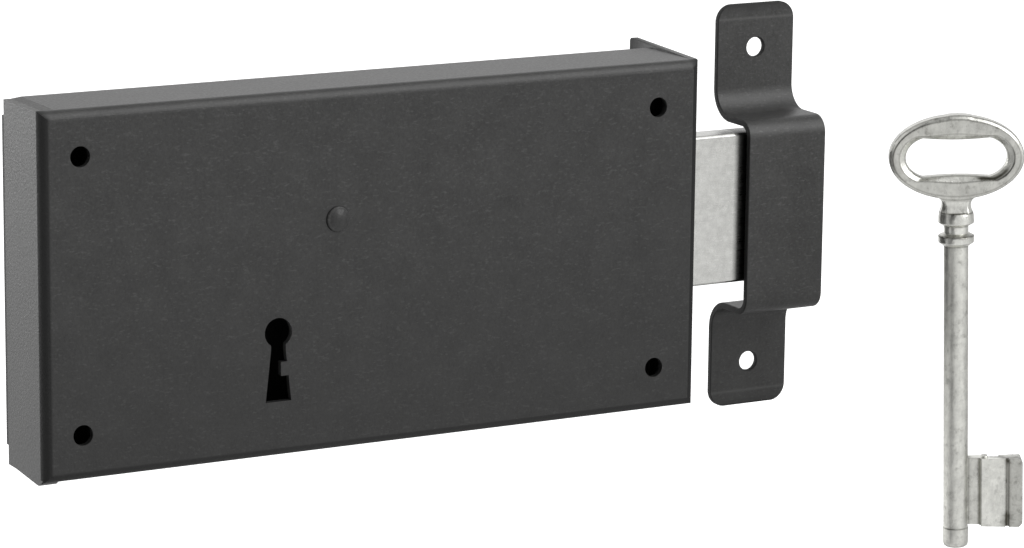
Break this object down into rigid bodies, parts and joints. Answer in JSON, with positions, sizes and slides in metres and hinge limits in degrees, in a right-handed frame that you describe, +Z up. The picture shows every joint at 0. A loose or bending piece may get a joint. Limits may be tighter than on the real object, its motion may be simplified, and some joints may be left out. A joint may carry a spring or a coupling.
{
  "type": "rim lock",
  "caption": "Surface-mounted rim lock: a folded sheet case with a keyhole and a thrown bolt, a bridge-shaped keeper, and a bit key standing beside it.",
  "frame": {"origin": "on the door's face (rear face of the back plate), at the centre of the case", "axes": "+X the way the bolt is thrown, +Y into the door, +Z up"},
  "size_m": [0.227, 0.0688, 0.121],
  "materials": {
    "case_coat": "fine-textured anthracite powder coat, satin",
    "plate_coat": "thin dark coat on flat sheet, satin",
    "bolt_zinc": "zinc plated, fine speckle, satin",
    "works_steel": "bright zinc plated steel",
    "tumbler_steel": "yellow passivated steel",
    "spring_steel": "blued spring steel",
    "brass_bush": "turned brass",
    "key_plate": "nickel plated casting, mottled satin"
  },
  "bodies": {
    "case": {"case_shell": "case_coat", "back_plate": "plate_coat", "cover_screw": "works_steel", "guide_stud": "case_coat", "stud_collar": "brass_bush", "stud_washer": "works_steel", "bolt_guide": "works_steel", "guide_rivets": "works_steel", "tumbler_pivot": "works_steel", "pivot_washer": "works_steel", "tumbler_stop": "works_steel", "tumbler_spring": "spring_steel", "spring_post": "works_steel", "keeper": "case_coat"},
    "bolt": {"bolt_head": "bolt_zinc", "bolt_tail": "works_steel", "bolt_rivets": "works_steel"},
    "tumbler": {"tumbler": "tumbler_steel", "tumbler_peg": "works_steel"},
    "key": {"key": "key_plate"}
  },
  "joints": [
    {"name": "bolt_slide", "type": "slide", "parent": "case", "child": "bolt", "axis": [1, 0, 0], "range_m": [-0.024, 0]},
    {"name": "tumbler_drop", "type": "hinge", "parent": "case", "child": "tumbler", "pos_m": [-0.05, -0.008, 0.028], "axis": [0, 1, 0], "range_deg": [0, 6.3], "stiffness_Nm_per_rad": 0.05, "springref_deg": 20.05, "deforming": ["tumbler_spring"]},
    {"name": "key_turn", "type": "hinge", "parent": "case", "child": "key", "pos_m": [0.1331, -0.0518, -0.0726], "axis": [-0.0272, 0.0157, 0.9995], "continuous": true}
  ]
}
